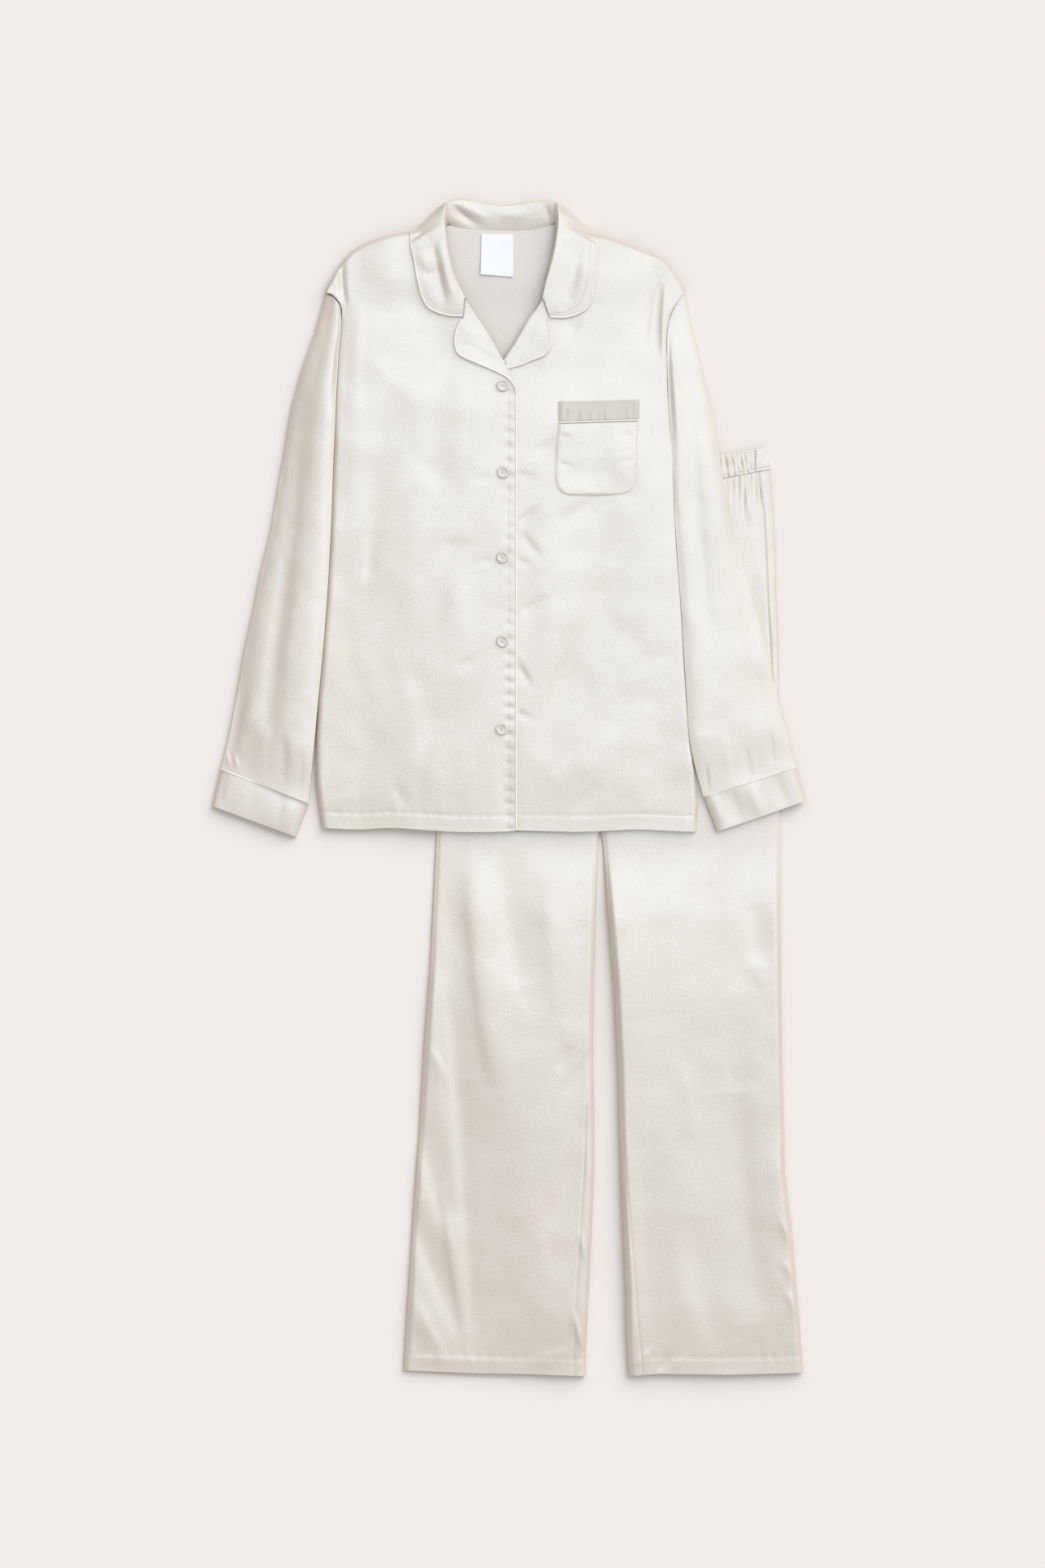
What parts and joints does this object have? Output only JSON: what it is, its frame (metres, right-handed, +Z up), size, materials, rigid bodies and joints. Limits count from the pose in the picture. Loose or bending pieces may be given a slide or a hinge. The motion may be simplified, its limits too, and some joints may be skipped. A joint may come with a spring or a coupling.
{
  "type": "pyjama set",
  "caption": "Satin pyjama set laid out flat: a buttoned long-sleeved shirt with a notched collar, corded piping and a chest pocket lies on straight trousers with a gathered waist.",
  "frame": {"origin": "middle of the set's box as it lies, on the surface under it", "axes": "+Y from the trouser hems to the collar, +Z up from the surface, +X to the wearer's left"},
  "size_m": [0.595, 1.181, 0.0138],
  "materials": {
    "satin": "ivory satin with a soft sheen",
    "piping": "ivory satin over cord",
    "button": "pearly",
    "label": "woven satin tab, blank"
  },
  "bodies": {
    "root": {"shirt_back": "satin", "shirt_front_right": "satin", "shirt_front_left": "satin", "sleeve_right": "satin", "sleeve_left": "satin", "cuff_right": "satin", "cuff_left": "satin", "collar": "satin", "lapel_right": "satin", "lapel_left": "satin", "pocket": "satin", "pocket_band": "satin", "piping_collar": "piping", "piping_front_right": "piping", "piping_lapel_left": "piping", "piping_pocket": "piping", "cuff_piping_right": "piping", "cuff_piping_left": "piping", "button_1": "button", "button_2": "button", "button_3": "button", "button_4": "button", "button_5": "button", "neck_label": "label", "trouser_front_right": "satin", "trouser_front_left": "satin", "trouser_back_right": "satin", "trouser_back_left": "satin", "waistband": "satin"}
  },
  "joints": []
}
